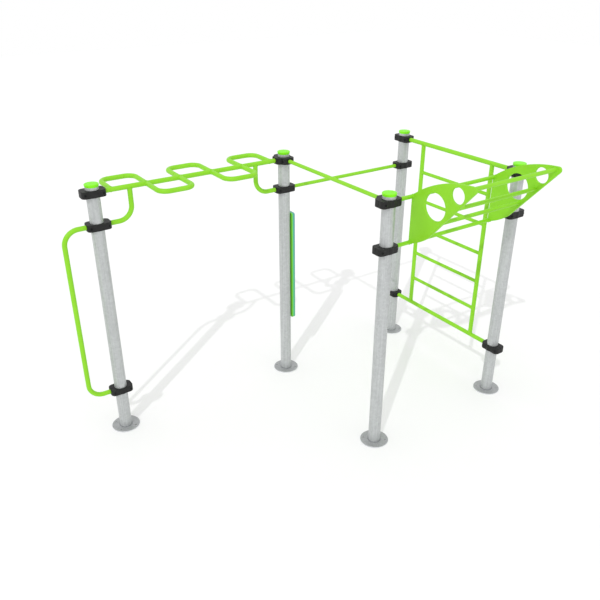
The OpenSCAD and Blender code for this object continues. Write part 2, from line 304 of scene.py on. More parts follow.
@dataclass(frozen=True)
class GalvanisedSteel(Recipe):
    """Hot-dip galvanised mild steel: dull zinc with run marks down it and a faint spangle.

    The zinc has weathered to a satin grey, so the eye sees soft vertical streaks and fine
    speckle more than mirror-like reflections. The first tint is the dullest zinc and the
    second the cleanest.

    Args:
        streak_mm: Width of the run marks.
        streak_stretch: How many times longer than wide a run mark is.
        spangle_mm: Width of a zinc crystal.
        grain_mm: Size of the fine speckle, drawn coarser than the real 1 mm so that it shows.
        streaks: How much the run marks count in the pattern, and what is taken off them.
        spangle: How much the crystals count.
        grain: How much the speckle counts.
        middle: The pattern's middle value.
        spread: How far from its middle the pattern runs.
        metal: How much of the light the weathered zinc throws back as metal.
        roughness: How rough the satin zinc is on the whole.
    """

    streak_mm: float = 9.0
    streak_stretch: float = 45.0
    spangle_mm: float = 18.0
    grain_mm: float = 5.0
    streaks: tuple[float, float] = (0.9, -0.25)
    spangle: float = 0.22
    grain: float = 0.55
    middle: float = 0.58
    spread: float = 0.28
    metal: float = 0.45
    roughness: float = 0.5

    def draw(self, tree: bpy.types.NodeTree, coords: bpy.types.NodeSocket) -> Drawn:
        """Adds up run marks, crystals and speckle.

        Args:
            tree: The material's node tree.
            coords: The Object coordinates.

        Returns:
            The pattern, its roughness by crystal and its slight relief.
        """
        across = 1 / (self.streak_mm * MM)
        scale = (across, across, across / self.streak_stretch)
        stretched = add_node(tree, "ShaderNodeMapping", {"Vector": coords, "Scale": scale})
        runs = add_node(
            tree,
            "ShaderNodeTexNoise",
            {"Vector": stretched.outputs[0], "Scale": 1.0, "Detail": 3.0},
        )
        cells = add_node(
            tree, "ShaderNodeTexVoronoi", {"Vector": coords, "Scale": 1 / (self.spangle_mm * MM)}
        )
        crystal = add_node(tree, "ShaderNodeSeparateColor", {"Color": cells.outputs["Color"]})
        speckle = add_node(
            tree,
            "ShaderNodeTexNoise",
            {"Vector": coords, "Scale": 1 / (self.grain_mm * MM), "Detail": 2.0},
        )
        total: float | bpy.types.NodeSocket = self.streaks[1]
        for part, weight in (
            (runs.outputs["Fac"], self.streaks[0]),
            (crystal.outputs[0], self.spangle),
            (speckle.outputs["Fac"], self.grain),
        ):
            share = {0: part, 1: weight, 2: total}
            total = add_node(tree, "ShaderNodeMath", share, operation="MULTIPLY_ADD").outputs[0]
        low, high = self.middle - self.spread, self.middle + self.spread
        level = add_node(
            tree, "ShaderNodeMapRange", {"Value": total, "From Min": low, "From Max": high}
        )
        return Drawn(
            level.outputs[0],
            rough={
                "Value": crystal.outputs[1],
                "To Min": self.roughness - 0.07,
                "To Max": self.roughness + 0.09,
            },
            relief={"Strength": 0.12, "Distance": 0.4 * MM, "Height": total},
            shader={"Metallic": self.metal},
        )


@dataclass(frozen=True)
class PowderCoat(Recipe):
    """Polyester powder coat baked on steel: an even colour with a faint orange peel.

    The coat is satin, so a tube shows a soft light band along its top, and the sun has faded
    it a little in broad patches. The first tint is the fresh coat and the second the faded.

    Args:
        peel_mm: Width of the orange peel, drawn coarser than the real 2 mm so that it shows.
        peel_depth_mm: Height of the orange peel.
        patch_mm: Width of the faded patches.
        roughness: How rough the coat is on the whole.
        gloss: Strength of the coat's reflections, 0.5 being that of clean polyester.
    """

    peel_mm: float = 4.0
    peel_depth_mm: float = 0.12
    patch_mm: float = 160.0
    roughness: float = 0.44
    gloss: float = 0.3

    def draw(self, tree: bpy.types.NodeTree, coords: bpy.types.NodeSocket) -> Drawn:
        """Draws the faded patches and the orange peel.

        Args:
            tree: The material's node tree.
            coords: The Object coordinates.

        Returns:
            The patches, their roughness and the peel's relief.
        """
        patches = add_node(
            tree,
            "ShaderNodeTexNoise",
            {"Vector": coords, "Scale": 1 / (self.patch_mm * MM), "Detail": 3.0, "Roughness": 0.55},
        ).outputs["Fac"]
        fade = add_node(
            tree, "ShaderNodeMapRange", {"Value": patches, "From Min": 0.32, "From Max": 0.68}
        )
        peel = add_node(
            tree,
            "ShaderNodeTexNoise",
            {"Vector": coords, "Scale": 1 / (self.peel_mm * MM), "Detail": 1.5},
        ).outputs["Fac"]
        return Drawn(
            fade.outputs[0],
            rough={
                "Value": patches,
                "From Min": 0.3,
                "From Max": 0.7,
                "To Min": self.roughness - 0.04,
                "To Max": self.roughness + 0.07,
            },
            relief={"Strength": 0.35, "Distance": self.peel_depth_mm * MM, "Height": peel},
            shader={"IOR": 1.5, "Specular IOR Level": self.gloss},
        )


@dataclass(frozen=True)
class TexturedCoat(Recipe):
    """Black fine-texture powder coat on cast aluminium: a gritty, nearly matt skin.

    The grit breaks up the light on the rounded edges, so the clamps look soft grey at their
    rims and black on their faces. The first tint is in the coat's pits, the second on its
    crests.

    Args:
        grit_mm: Grit size, drawn coarser than the real 0.5 mm so that it shows.
        dust_mm: Width of the dusty patches.
        roughness: How rough the coat is on the whole.
        gloss: Strength of the coat's reflections, which its grit and dust weaken.
    """

    grit_mm: float = 2.2
    dust_mm: float = 35.0
    roughness: float = 0.5
    gloss: float = 0.34

    def draw(self, tree: bpy.types.NodeTree, coords: bpy.types.NodeSocket) -> Drawn:
        """Draws the grit and the dust on it.

        Args:
            tree: The material's node tree.
            coords: The Object coordinates.

        Returns:
            The dusty grit, its roughness and its relief.
        """
        grit = add_node(
            tree,
            "ShaderNodeTexNoise",
            {"Vector": coords, "Scale": 1 / (self.grit_mm * MM), "Detail": 3.0, "Roughness": 0.6},
        ).outputs["Fac"]
        dust = add_node(
            tree,
            "ShaderNodeTexNoise",
            {"Vector": coords, "Scale": 1 / (self.dust_mm * MM), "Detail": 2.0},
        ).outputs["Fac"]
        level = add_node(tree, "ShaderNodeMath", {0: grit, 1: dust}, operation="MULTIPLY")
        shade = add_node(
            tree,
            "ShaderNodeMapRange",
            {"Value": level.outputs[0], "From Min": 0.16, "From Max": 0.36},
        )
        return Drawn(
            shade.outputs[0],
            rough={
                "Value": grit,
                "To Min": self.roughness - 0.06,
                "To Max": self.roughness + 0.1,
            },
            relief={"Strength": 0.5, "Distance": 0.25 * MM, "Height": grit},
            shader={"IOR": 1.5, "Specular IOR Level": self.gloss},
        )


@dataclass(frozen=True)
class MouldedNylon(Recipe):
    """Injection-moulded nylon for the post caps: bright, smooth and a little waxy.

    The first tint is the clear moulding, the second where its surface has bloomed with age.

    Args:
        flow_mm: Width of the flow marks.
        tool_mm: Width of the tool's fine marks.
        roughness: How rough the moulding is.
        gloss: Strength of the moulding's reflections, weaker than on dry new nylon.
    """

    flow_mm: float = 26.0
    tool_mm: float = 1.5
    roughness: float = 0.4
    gloss: float = 0.2

    def draw(self, tree: bpy.types.NodeTree, coords: bpy.types.NodeSocket) -> Drawn:
        """Draws the flow marks and the tool's fine marks.

        Args:
            tree: The material's node tree.
            coords: The Object coordinates.

        Returns:
            The flow marks, their roughness and the fine relief.
        """
        flow = add_node(
            tree,
            "ShaderNodeTexNoise",
            {"Vector": coords, "Scale": 1 / (self.flow_mm * MM), "Detail": 2.0, "Distortion": 0.6},
        ).outputs["Fac"]
        fine = add_node(
            tree,
            "ShaderNodeTexNoise",
            {"Vector": coords, "Scale": 1 / (self.tool_mm * MM), "Detail": 1.0},
        ).outputs["Fac"]
        return Drawn(
            flow,
            rough={
                "Value": flow,
                "To Min": self.roughness - 0.05,
                "To Max": self.roughness + 0.08,
            },
            relief={"Strength": 0.2, "Distance": 0.08 * MM, "Height": fine},
            shader={"IOR": 1.53, "Specular IOR Level": self.gloss},
        )


@dataclass(frozen=True)
class SheetPolythene(Recipe):
    """High-density polythene sheet for the sign board: satin, with a fine pebbled skin.

    One layer of the sheet runs from the first tint at its foot to the second at its head.

    Args:
        foot_z: Height of the foot in metres.
        head_z: Height of the head in metres.
        pebble_mm: Size of the pebbled skin, drawn coarser than the real 1 mm.
        roughness: How rough the sheet is.
    """

    foot_z: float
    head_z: float
    pebble_mm: float = 3.0
    roughness: float = 0.48

    def draw(self, tree: bpy.types.NodeTree, coords: bpy.types.NodeSocket) -> Drawn:
        """Draws the rise from foot to head and the pebbles.

        Args:
            tree: The material's node tree.
            coords: The Object coordinates.

        Returns:
            The rise, the pebbles' roughness and their relief.
        """
        place = add_node(tree, "ShaderNodeSeparateXYZ", {"Vector": coords})
        rise = add_node(
            tree,
            "ShaderNodeMapRange",
            {"Value": place.outputs[2], "From Min": self.foot_z, "From Max": self.head_z},
            interpolation_type="SMOOTHSTEP",
        )
        pebble = add_node(
            tree,
            "ShaderNodeTexNoise",
            {"Vector": coords, "Scale": 1 / (self.pebble_mm * MM), "Detail": 2.0},
        ).outputs["Fac"]
        return Drawn(
            rise.outputs[0],
            rough={
                "Value": pebble,
                "To Min": self.roughness - 0.06,
                "To Max": self.roughness + 0.08,
            },
            relief={"Strength": 0.4, "Distance": 0.15 * MM, "Height": pebble},
            shader={"IOR": 1.5},
        )


@dataclass(frozen=True)
class BlackOxideSteel(Recipe):
    """Cold-headed bolt steel under a black oxide film: nearly black, satin and a little oily.

    The first tint is the whole film, the second where a key and the weather have rubbed it.

    Args:
        rub_mm: Width of the rubbed patches.
        metal: How much of the light the film throws back as metal.
        roughness: How rough the film is.
    """

    rub_mm: float = 4.0
    metal: float = 0.8
    roughness: float = 0.38

    def draw(self, tree: bpy.types.NodeTree, coords: bpy.types.NodeSocket) -> Drawn:
        """Draws the rubbed patches.

        Args:
            tree: The material's node tree.
            coords: The Object coordinates.

        Returns:
            The patches and their roughness.
        """
        rub = add_node(
            tree,
            "ShaderNodeTexNoise",
            {"Vector": coords, "Scale": 1 / (self.rub_mm * MM), "Detail": 3.0},
        ).outputs["Fac"]
        low, high = self.roughness - 0.08, self.roughness + 0.14
        rough = {"Value": rub, "To Min": low, "To Max": high}
        return Drawn(rub, rough=rough, shader={"Metallic": self.metal})


@dataclass(frozen=True)
class PaintedFloor(Recipe):
    """A smooth painted plaster floor, matt and nearly white.

    The first tint is the clean paint, the second where it is a little worn.

    Args:
        patches: How many worn patches lie along a metre.
        roughness: How rough the paint is.
        gloss: Strength of the matt paint's reflections.
    """

    patches: float = 0.6
    roughness: float = 0.9
    gloss: float = 0.1

    def draw(self, tree: bpy.types.NodeTree, coords: bpy.types.NodeSocket) -> Drawn:
        """Draws the worn patches.

        Args:
            tree: The material's node tree.
            coords: The Object coordinates.

        Returns:
            The patches, under a matt shader.
        """
        wear = add_node(
            tree, "ShaderNodeTexNoise", {"Vector": coords, "Scale": self.patches, "Detail": 2.0}
        )
        matt = {"Roughness": self.roughness, "Specular IOR Level": self.gloss}
        return Drawn(wear.outputs["Fac"], shader=matt)


class Finish(Enum):
    """The finishes on the frame, each with the record's material slot it belongs to."""

    POST = "post_galvanised"
    PLATE = "plate_galvanised"
    # The plate's rim faces, painted lighter: a painted highlight.
    PLATE_RIM_PAINTED_HIGHLIGHT = "plate_galvanised_rim"
    # The weld at the post's foot: darker grey weld paint that is also painted contact shade.
    FOOT_WELD_PAINTED_SHADE = "plate_galvanised_weld"
    CAP = "cap_green"
    CLAMP = "clamp_black"
    LIME = "tube_green"
    SIGN_BACK = "sign_plastic"
    SIGN_CORE = "sign_plastic_core"
    SIGN_FACE = "sign_plastic_face"
    BOLT = "fasteners"

    @property
    def slot(self) -> str:
        """The record's material slot for this finish."""
        for detail in ("_rim", "_weld", "_core", "_face"):
            if self.value.endswith(detail):
                return self.value.removesuffix(detail)
        return self.value


class Paintshop:
    """Builds each finish once and puts it on pieces and on CAD nodes."""

    def __init__(self) -> None:
        """Builds all the materials."""
        foot, head = box_of("sign_board")
        recipes = {
            Finish.POST: GalvanisedSteel("galvanised_steel_post", "#acafaf", "#c5c8c8"),
            Finish.PLATE: GalvanisedSteel(
                "galvanised_steel_plate", "#989b9c", "#b4b6b7", roughness=0.55, spangle_mm=12.0
            ),
            # Lighter zinc on the rim's side faces: a painted highlight along the base plate's rim.
            Finish.PLATE_RIM_PAINTED_HIGHLIGHT: GalvanisedSteel(
                "galvanised_steel_rim_painted_highlight", "#cfd2d4", "#e2e4e6", spangle_mm=12.0
            ),
            # Darker grey weld paint, which also paints the contact shade round the post's foot.
            Finish.FOOT_WELD_PAINTED_SHADE: GalvanisedSteel(
                "zinc_rich_weld_paint_and_painted_contact_shade", "#777a7c", "#94989a", roughness=0.62, spangle_mm=6.0
            ),
            Finish.CAP: MouldedNylon("moulded_nylon_cap", "#82ec18", "#87ef22"),
            Finish.CLAMP: TexturedCoat("black_texture_powder_coat", "#0b0c0b", "#1b1c1b"),
            Finish.LIME: PowderCoat("lime_powder_coat", "#88cf21", "#8dd429"),
            Finish.SIGN_BACK: SheetPolythene(
                "polythene_sheet_green", "#6fca33", "#72cf37", foot.z, head.z
            ),
            Finish.SIGN_CORE: SheetPolythene(
                "polythene_sheet_light_green", "#57c777", "#55c284", foot.z, head.z
            ),
            Finish.SIGN_FACE: SheetPolythene(
                "polythene_sheet_teal", "#4aa583", "#559aa0", foot.z, head.z
            ),
            Finish.BOLT: BlackOxideSteel("black_oxide_bolt_steel", "#141516", "#2b2d2e"),
        }
        self.materials = {finish: recipe.build() for finish, recipe in recipes.items()}

    def coat_node(self, node: str, finish: Finish) -> None:
        """Gives a CAD node a finish, and leaves its mesh alone.

        Args:
            node: The CAD node's name.
            finish: The finish it gets.
        """
        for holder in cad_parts[node].material_slots:
            holder.material = self.materials[finish]
        log.info("coated %s as %s", node, finish.name.lower())

    def hand_over(
        self,
        name: str,
        bm: bmesh.types.BMesh,
        *finishes: Finish,
        stands_for: Iterable[str] = (),
        crease: float = 32.0,
    ) -> bpy.types.Object:
        """Makes a finished object of a mesh, riding on the frame.

        Args:
            name: The piece's name.
            bm: Its mesh in place; it is freed.
            *finishes: Its finishes, in the order of its material indices.
            stands_for: The CAD nodes that it replaces.
            crease: The angle in degrees above which an edge stays crisp.

        Returns:
            The piece's object.
        """
        for face in bm.faces:
            face.smooth = True
        for edge in bm.edges:
            edge.smooth = not sharp(edge, crease)
        mesh = bpy.data.meshes.new(name)
        bm.to_mesh(mesh)
        bm.free()
        piece = bpy.data.objects.new(name, mesh)
        bpy.context.scene.collection.objects.link(piece)
        for finish in finishes:
            mesh.materials.append(self.materials[finish])
        even = piece.modifiers.new("even_shading", "WEIGHTED_NORMAL")
        even.keep_sharp = True
        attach(piece, "root")
        if stands_for:
            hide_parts(*stands_for)
        log.info("made %s with %d faces", name, len(mesh.polygons))
        return piece


# ---------------------------------------------------------------------------------------------
# Weld beads
# ---------------------------------------------------------------------------------------------


@dataclass
class WeldBead:
    """A rippled weld bead round a tube where it meets a bar or a flat face.

    Args:
        tube_r: Outer radius of the tube that the bead runs round, in metres.
        seat_r: Outer radius of the bar that the tube is coped to, or 0 for a flat face.
        size: Radius of the bead.
        sweep: How far round the tube the bead runs, in radians.
        ripple_mm: Length of one ripple of the bead.
        ripple_swell: How much a ripple swells the bead, as a share of its size.
        step: Length of one step of the bead's mesh.
    """

    tube_r: float
    seat_r: float = 0.0
    size: float = 3.4 * MM
    sweep: float = math.tau
    ripple_mm: float = 6.0
    ripple_swell: float = 0.16
    step: float = 1.6 * MM

    def build(self) -> bmesh.types.BMesh:
        """Lays the bead about the origin, its tube running up Z and its seat along X.

        Returns:
            The bead's closed mesh.
        """
        full = self.sweep > math.tau - 0.01
        bm = bmesh.new()
        ring = bmesh.ops.create_circle(bm, cap_ends=False, segments=8, radius=self.size)["verts"]
        stand = Matrix.Rotation(math.pi / 2, 4, "X")
        start = Matrix.Rotation(-self.sweep / 2, 4, "Z")
        out = Matrix.Translation((self.tube_r, 0.0, 0.0))
        bmesh.ops.transform(bm, matrix=start @ out @ stand, verts=ring)
        bmesh.ops.spin(
            bm,
            geom=ring + list(bm.edges),
            cent=(0.0, 0.0, 0.0),
            axis=(0.0, 0.0, 1.0),
            angle=self.sweep,
            steps=max(16, round(self.tube_r * self.sweep / self.step)),
            use_merge=full,
            use_duplicate=False,
        )
        if not full:
            ends = [edge for edge in bm.edges if edge.is_boundary]
            bmesh.ops.holes_fill(bm, edges=ends, sides=0)
        self._settle(bm)
        bmesh.ops.recalc_face_normals(bm, faces=bm.faces)
        return bm

    def _settle(self, bm: bmesh.types.BMesh) -> None:
        """Ripples the bead and lets it down onto the seat's curve.

        Args:
            bm: The bead, round and level.
        """
        ripples = max(4, round(self.tube_r * math.tau / (self.ripple_mm * MM)))
        for vert in bm.verts:
            bearing = math.atan2(vert.co.y, vert.co.x)
            swell = 1.0 + self.ripple_swell * abs(math.sin(ripples * bearing / 2))
            reach = self.tube_r + (math.hypot(vert.co.x, vert.co.y) - self.tube_r) * swell
            drop = self.tube_r * math.sin(bearing)
            height = math.sqrt(max(self.seat_r**2 - drop**2, 0.0))
            level = vert.co.z * swell + height
            vert.co = (reach * math.cos(bearing), reach * math.sin(bearing), level)


# ---------------------------------------------------------------------------------------------
# The frame's own pieces
# ---------------------------------------------------------------------------------------------


@dataclass
class Assembly:
    """A sub-assembly of the frame.

    Args:
        shop: Where its finishes come from.
    """

    shop: Paintshop


@dataclass
class Post(Assembly):
    """A galvanised post on its round base plate, with a moulded cap on top.

    Args:
        letter: The post's letter.
        rim_round: Rounding of the base plate's rim.
        cap_round: Rounding of the cap's top rim.
        cap_crown: Thickness of the cap's top over its hollow spigot.
        spigot_in: From the post's outside to the spigot's.
        spigot_wall: Wall of the spigot.
        ring_in: From the cap's rim to the shallow ring in its top.
        foot_bead: Radius of the weld bead round the foot.
    """

    letter: str
    rim_round: float = 2.0 * MM
    cap_round: float = 5.0 * MM
    cap_crown: float = 7.0 * MM
    spigot_in: float = 4.0 * MM
    spigot_wall: float = 4.0 * MM
    ring_in: float = 11.0 * MM
    foot_bead: float = 4.5 * MM

    @property
    def foot(self) -> Vector:
        """The middle of the post at the height of its own foot."""
        middle = middle_of(f"post_{self.letter}")
        return Vector((middle.x, middle.y, box_of(f"post_{self.letter}")[0].z))

    @property
    def radius(self) -> float:
        """The post's outer radius."""
        return half_of(f"post_{self.letter}").x

    def base_plate(self) -> None:
        """Makes the base plate with rounded rims, their side faces painted lighter as a highlight,
        and the weld round the post's foot, painted darker grey to stand for the contact shade
        there.
        """
        node = f"base_plate_{self.letter}"
        bm = cad_copy(node)
        round_edges(bm, [edge for edge in bm.edges if sharp(edge)], self.rim_round)
        bm.normal_update()
        rim = half_of(node).x - 2 * self.rim_round
        # The rim's side faces take the lighter finish, a painted highlight.
        for face in bm.faces:
            middle = face.calc_center_median()
            reach = math.hypot(middle.x - self.foot.x, middle.y - self.foot.y)
            face.material_index = int(reach > rim and face.normal.z < 0.9)
        coats = (Finish.PLATE, Finish.PLATE_RIM_PAINTED_HIGHLIGHT)
        self.shop.hand_over(f"{node}_dressed", bm, *coats, stands_for=[node])
        # The weld bead's darker grey is painted shade where the post meets its plate.
        weld = bmesh.new()
        bead = WeldBead(self.radius, size=self.foot_bead, ripple_mm=9.0).build()
        put_in(weld, bead, Matrix.Translation(self.foot))
        self.shop.hand_over(f"post_{self.letter}_foot_weld", weld, Finish.FOOT_WELD_PAINTED_SHADE)

    def cap(self) -> None:
        """Turns the cap: a flared skirt, a rounded rim, a shallow ring and a hidden spigot."""
        node = f"cap_{self.letter}"
        seat = box_of(f"post_{self.letter}")[1].z
        rim = half_of(node).x
        tail, top = (corner.z - seat for corner in box_of(node))
        bore = self.radius - self.spigot_in
        hollow = bore - self.spigot_wall
        ring = rim - self.ring_in
        rounding = [
            (rim - self.cap_round * (1 - math.cos(a)), top - self.cap_round * (1 - math.sin(a)))
            for a in (math.radians(18 * step) for step in range(6))
        ]
        outline = [
            (0.0, top - self.cap_crown),
            (hollow, top - self.cap_crown),
            (hollow, tail),
            (bore, tail),
            (bore, 0.0),
            (self.radius - 0.5 * MM, 0.0),
            (self.radius + 0.4 * MM, 1.5 * MM),
            *rounding,
            (ring, top - 0.1 * MM),
            (ring - 1.0 * MM, top - 1.0 * MM),
            (ring - 3.0 * MM, top - 1.0 * MM),
            (ring - 4.5 * MM, top - 0.2 * MM),
            (rim * 0.4, top - 0.1 * MM),
            (0.0, top),
        ]
        bm = turned(outline, 72)
        bmesh.ops.translate(bm, vec=(self.foot.x, self.foot.y, seat), verts=bm.verts)
        self.shop.hand_over(f"{node}_moulded", bm, Finish.CAP, stands_for=[node])

    def build(self) -> None:
        """Builds and dresses the post."""
        self.shop.coat_node(f"post_{self.letter}", Finish.POST)
        self.base_plate()
        self.cap()


class Half(Enum):
    """The halves of a clamp, as in the CAD nodes' names."""

    FRONT = "front"
    REAR = "rear"


@dataclass
class Clamp(Assembly):
    """A two-part cast clamp about a post, with its two bolts.

    Args:
        name: The clamp's name, a post's letter and a number.
        rim_round: Rounding of the rims on its top and bottom.
        bore_clear: How far from the bore a rim has to be for it to be rounded.
        split_near: How near the halves' split an edge has to be for it to stay crisp.
        bolt_end: Each bolt's distance from its end of the clamp.
        bolt_seat: Distance of the bolt head's seat from the post's axis.
        bolt_tip: Distance of the bolt's tip from the post's axis.
    """

    name: str
    rim_round: float = 2.8 * MM
    bore_clear: float = 4.0 * MM
    split_near: float = 2.5 * MM
    bolt_end: float = 25.0 * MM
    bolt_seat: float = 55.5 * MM
    bolt_tip: float = 48.5 * MM

    @property
    def middle(self) -> Vector:
        """The point on the post's axis at the clamp's mid height."""
        post, clamp = middle_of(f"post_{self.name[0]}"), middle_of(f"clamp_{self.name}_front")
        return Vector((post.x, post.y, clamp.z))

    @property
    def front(self) -> Vector:
        """The direction that the front half faces."""
        away = middle_of(f"clamp_{self.name}_front") - self.middle
        if abs(away.x) > abs(away.y):
            return ALONG_X * math.copysign(1.0, away.x)
        return ALONG_Y * math.copysign(1.0, away.y)

    def half(self, side: Half) -> None:
        """Makes one half: a rounded casting copied from the CAD half.

        Args:
            side: Which half it is.
        """
        node = f"clamp_{self.name}_{side.value}"
        low, high = box_of(node)
        bm = cad_copy(node)
        middle, front = self.middle, self.front
        clear = half_of(f"post_{self.name[0]}").x + self.bore_clear

        def on_rim(vert: bmesh.types.BMVert) -> bool:
            """Says whether a corner lies on the outline of the top or the bottom."""
            level = min(abs(vert.co.z - low.z), abs(vert.co.z - high.z)) < ON_PLANE
            return level and math.hypot(vert.co.x - middle.x, vert.co.y - middle.y) > clear

        def on_split(edge: bmesh.types.BMEdge) -> bool:
            """Says whether an edge lies on the flat where the halves face each other."""
            gaps = (abs((vert.co - middle).dot(front)) for vert in edge.verts)
            return max(gaps) < self.split_near

        rims = [e for e in bm.edges if sharp(e) and all(map(on_rim, e.verts)) and not on_split(e)]
        round_edges(bm, rims, self.rim_round)
        self.shop.hand_over(f"{node}_cast", bm, Finish.CLAMP, stands_for=[node])

    def bolts(self) -> None:
        """Makes the clamp's two button-head bolts, seated in their sinks."""
        bm = bmesh.new()
        front = self.front
        across = front.cross(UP)
        low, high = box_of(f"clamp_{self.name}_front")
        ends = [(corner - self.middle).dot(across) for corner in (low, high)]
        for x in (min(ends) + self.bolt_end, max(ends) - self.bolt_end):
            seat = self.middle + across * x + front * self.bolt_seat
            bolt = SocketBolt(shank=self.bolt_seat + self.bolt_tip).build()
            put_in(bm, bolt, axes(seat, front, across))
        self.shop.hand_over(f"bolts_{self.name}", bm, Finish.BOLT, stands_for=["clamp_bolts"])

    def build(self) -> None:
        """Builds and dresses the clamp."""
        for side in Half:
            self.half(side)
        self.bolts()


@dataclass
class SocketBolt:
    """A button-head bolt with a hexagon socket.

    Args:
        shank: Length of the shank below the head.
        shank_r: Radius of the shank.
        head_r: Radius of the head.
        head_h: Height of the head.
        key_flat: Half the width over the socket's flats.
        key_deep: Depth of the socket.
        chamfer: Chamfer on the shank's end.
    """

    shank: float
    shank_r: float = 5.0 * MM
    head_r: float = 8.5 * MM
    head_h: float = 6.0 * MM
    key_flat: float = 3.0 * MM
    key_deep: float = 3.6 * MM
    chamfer: float = 1.0 * MM

    def build(self) -> bmesh.types.BMesh:
        """Turns the bolt about Z with its seat at the origin, and shapes its socket.

        Returns:
            The bolt's closed mesh.
        """
        floor = self.head_h - self.key_deep
        outline = [
            (0.0, -self.shank),
            (self.shank_r - self.chamfer, -self.shank),
            (self.shank_r, -self.shank + self.chamfer),
            (self.shank_r, 0.0),
            (self.head_r, 0.0),
            (self.head_r, 1.4 * MM),
            (self.head_r * 0.93, self.head_h * 0.56),
            (self.head_r * 0.78, self.head_h * 0.83),
            (self.head_r * 0.58, self.head_h),
            (self.key_flat, self.head_h),
            (self.key_flat, floor),
            (0.0, floor),
        ]
        bm = turned(outline, 24)
        for vert in bm.verts:
            reach = math.hypot(vert.co.x, vert.co.y)
            if vert.co.z >= floor - MERGE_CAD and abs(reach - self.key_flat) < ON_PLANE:
                turn = math.atan2(vert.co.y, vert.co.x) % (math.pi / 3) - math.pi / 6
                vert.co.xy /= math.cos(turn)
        return bm


@dataclass
class WaveBars(Assembly):
    """The spine with its wave loops, and the corner braces under its ends.

    Args:
        loops: How many loops there are.
    """

    loops: int = 5

    def welds(self) -> None:
        """Lays a bead round each leg of each loop, and round each brace's upright."""
        spine, spine_r = middle_of("spine"), half_of("spine").z
        low, high = box_of("wave_loops")
        leg_r = half_of("wave_loops").z
        first_leg = low.x + leg_r
        pitch = (high.x - leg_r - first_leg) / self.loops
        bm = bmesh.new()
        for index in range(self.loops):
            away = ALONG_Y if index % 2 == 0 else -ALONG_Y
            for end in (0, 1):
                x = first_leg + (index + end) * pitch
                bead = WeldBead(leg_r, spine_r).build()
                put_in(bm, bead, axes(Vector((x, spine.y, spine.z)), away, ALONG_X))
        self.shop.hand_over("wave_loop_welds", bm, Finish.LIME)
        bm = bmesh.new()
        for x in (box_of("brace_a")[1].x - leg_r, box_of("brace_b")[0].x + leg_r):
            bead = WeldBead(leg_r, spine_r).build()
            put_in(bm, bead, axes(Vector((x, spine.y, spine.z)), -UP, ALONG_X))
        self.shop.hand_over("brace_welds", bm, Finish.LIME)

    def build(self) -> None:
        """Builds and dresses the wave bars."""
        for node in ("spine", "wave_loops", "brace_a", "brace_b"):
            self.shop.coat_node(node, Finish.LIME)
        self.welds()


@dataclass
class Ladder(Assembly):
    """The ladder between posts D and E: two bars, two stiles and the rungs.

    Args:
        rungs: How many rungs there are.
    """

    rungs: int = 5

    def welds(self) -> None:
        """Lays a bead at both ends of each rung and of each stile."""
        low, high = box_of("ladder_stiles")
        stile_r, rung_r = half_of("ladder_stiles").x, half_of("ladder_rungs").x
        bar_r, x = half_of("ladder_top_bar").z, middle_of("ladder_stiles").x
        stiles = (low.y + stile_r, high.y - stile_r)
        first_rung = box_of("ladder_rungs")[0].z + rung_r
        pitch = 2 * (half_of("ladder_rungs").z - rung_r) / (self.rungs - 1)
        bm = bmesh.new()
        for index in range(self.rungs):
            z = first_rung + index * pitch
            for y, inward in zip(stiles, (ALONG_Y, -ALONG_Y)):
                bead = WeldBead(rung_r, stile_r).build()
                put_in(bm, bead, axes(Vector((x, y, z)), inward, UP))
        self.shop.hand_over("ladder_rung_welds", bm, Finish.LIME)
        bm = bmesh.new()
        for node, inward in (("ladder_bottom_bar", UP), ("ladder_top_bar", -UP)):
            for y in stiles:
                bead = WeldBead(stile_r, bar_r).build()
                spot = Vector((x, y, middle_of(node).z))
                put_in(bm, bead, axes(spot, inward, ALONG_Y))
        self.shop.hand_over("ladder_stile_welds", bm, Finish.LIME)

    def build(self) -> None:
        """Builds and dresses the ladder."""
        for node in ("ladder_top_bar", "ladder_bottom_bar", "ladder_stiles", "ladder_rungs"):
            self.shop.coat_node(node, Finish.LIME)
        self.welds()


